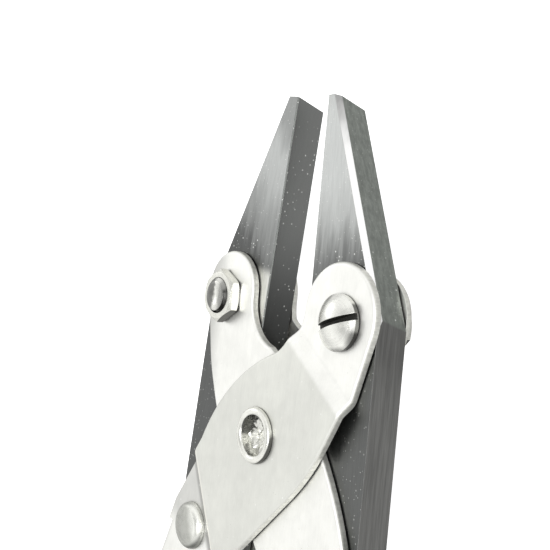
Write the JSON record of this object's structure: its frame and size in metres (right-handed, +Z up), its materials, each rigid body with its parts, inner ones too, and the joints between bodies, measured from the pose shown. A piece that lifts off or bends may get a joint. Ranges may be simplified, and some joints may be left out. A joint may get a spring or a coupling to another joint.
{
  "type": "flat nose pliers",
  "caption": "Parallel-action flat nose pliers with slim tapering steel jaws and pressed channel handles, for gripping and bending wire and small parts.",
  "frame": {"origin": "bottom centre of the bounding box, tool lying on its back", "axes": "+Y along the tool towards the jaw tips, +X across the handles, +Z up through the thickness"},
  "size_m": [0.0984, 0.1484, 0.0133],
  "materials": {
    "jaw_steel": "ground tool steel, oiled dark",
    "handle_plate": "satin nickel plate",
    "fastener": "turned, bright nickel plate",
    "rivet": "nickel plate"
  },
  "bodies": {
    "handle_a": {"handle_a": "handle_plate", "pivot_screw_right": "fastener", "pivot_nut_right": "fastener", "guide_rivet_a": "rivet", "centre_rivet_front": "rivet"},
    "handle_b": {"handle_b": "handle_plate", "pivot_screw_left": "fastener", "pivot_nut_left": "fastener", "guide_rivet_b": "rivet", "centre_rivet_back": "rivet"},
    "jaw_right": {"jaw_right": "jaw_steel"},
    "jaw_left": {"jaw_left": "jaw_steel"}
  },
  "joints": [
    {"name": "handle_pivot", "type": "hinge", "parent": "handle_a", "child": "handle_b", "pos_m": [0, 0.02091, 0.00666], "axis": [0, 0, 1], "range_deg": [-29.5, 0]},
    {"name": "jaw_right_pivot", "type": "hinge", "parent": "handle_a", "child": "jaw_right", "pos_m": [0.015, 0.04091, 0.00666], "axis": [0, 0, 1], "range_deg": [-18, 0]},
    {"name": "jaw_left_pivot", "type": "hinge", "parent": "handle_b", "child": "jaw_left", "pos_m": [-0.015, 0.04091, 0.00666], "axis": [0, 0, 1], "range_deg": [0, 18]}
  ],
  "couplings": [
    {"joint": "jaw_right_pivot", "follows": "handle_pivot", "ratio": 0.60949},
    {"joint": "jaw_left_pivot", "follows": "handle_pivot", "ratio": -0.60949}
  ]
}
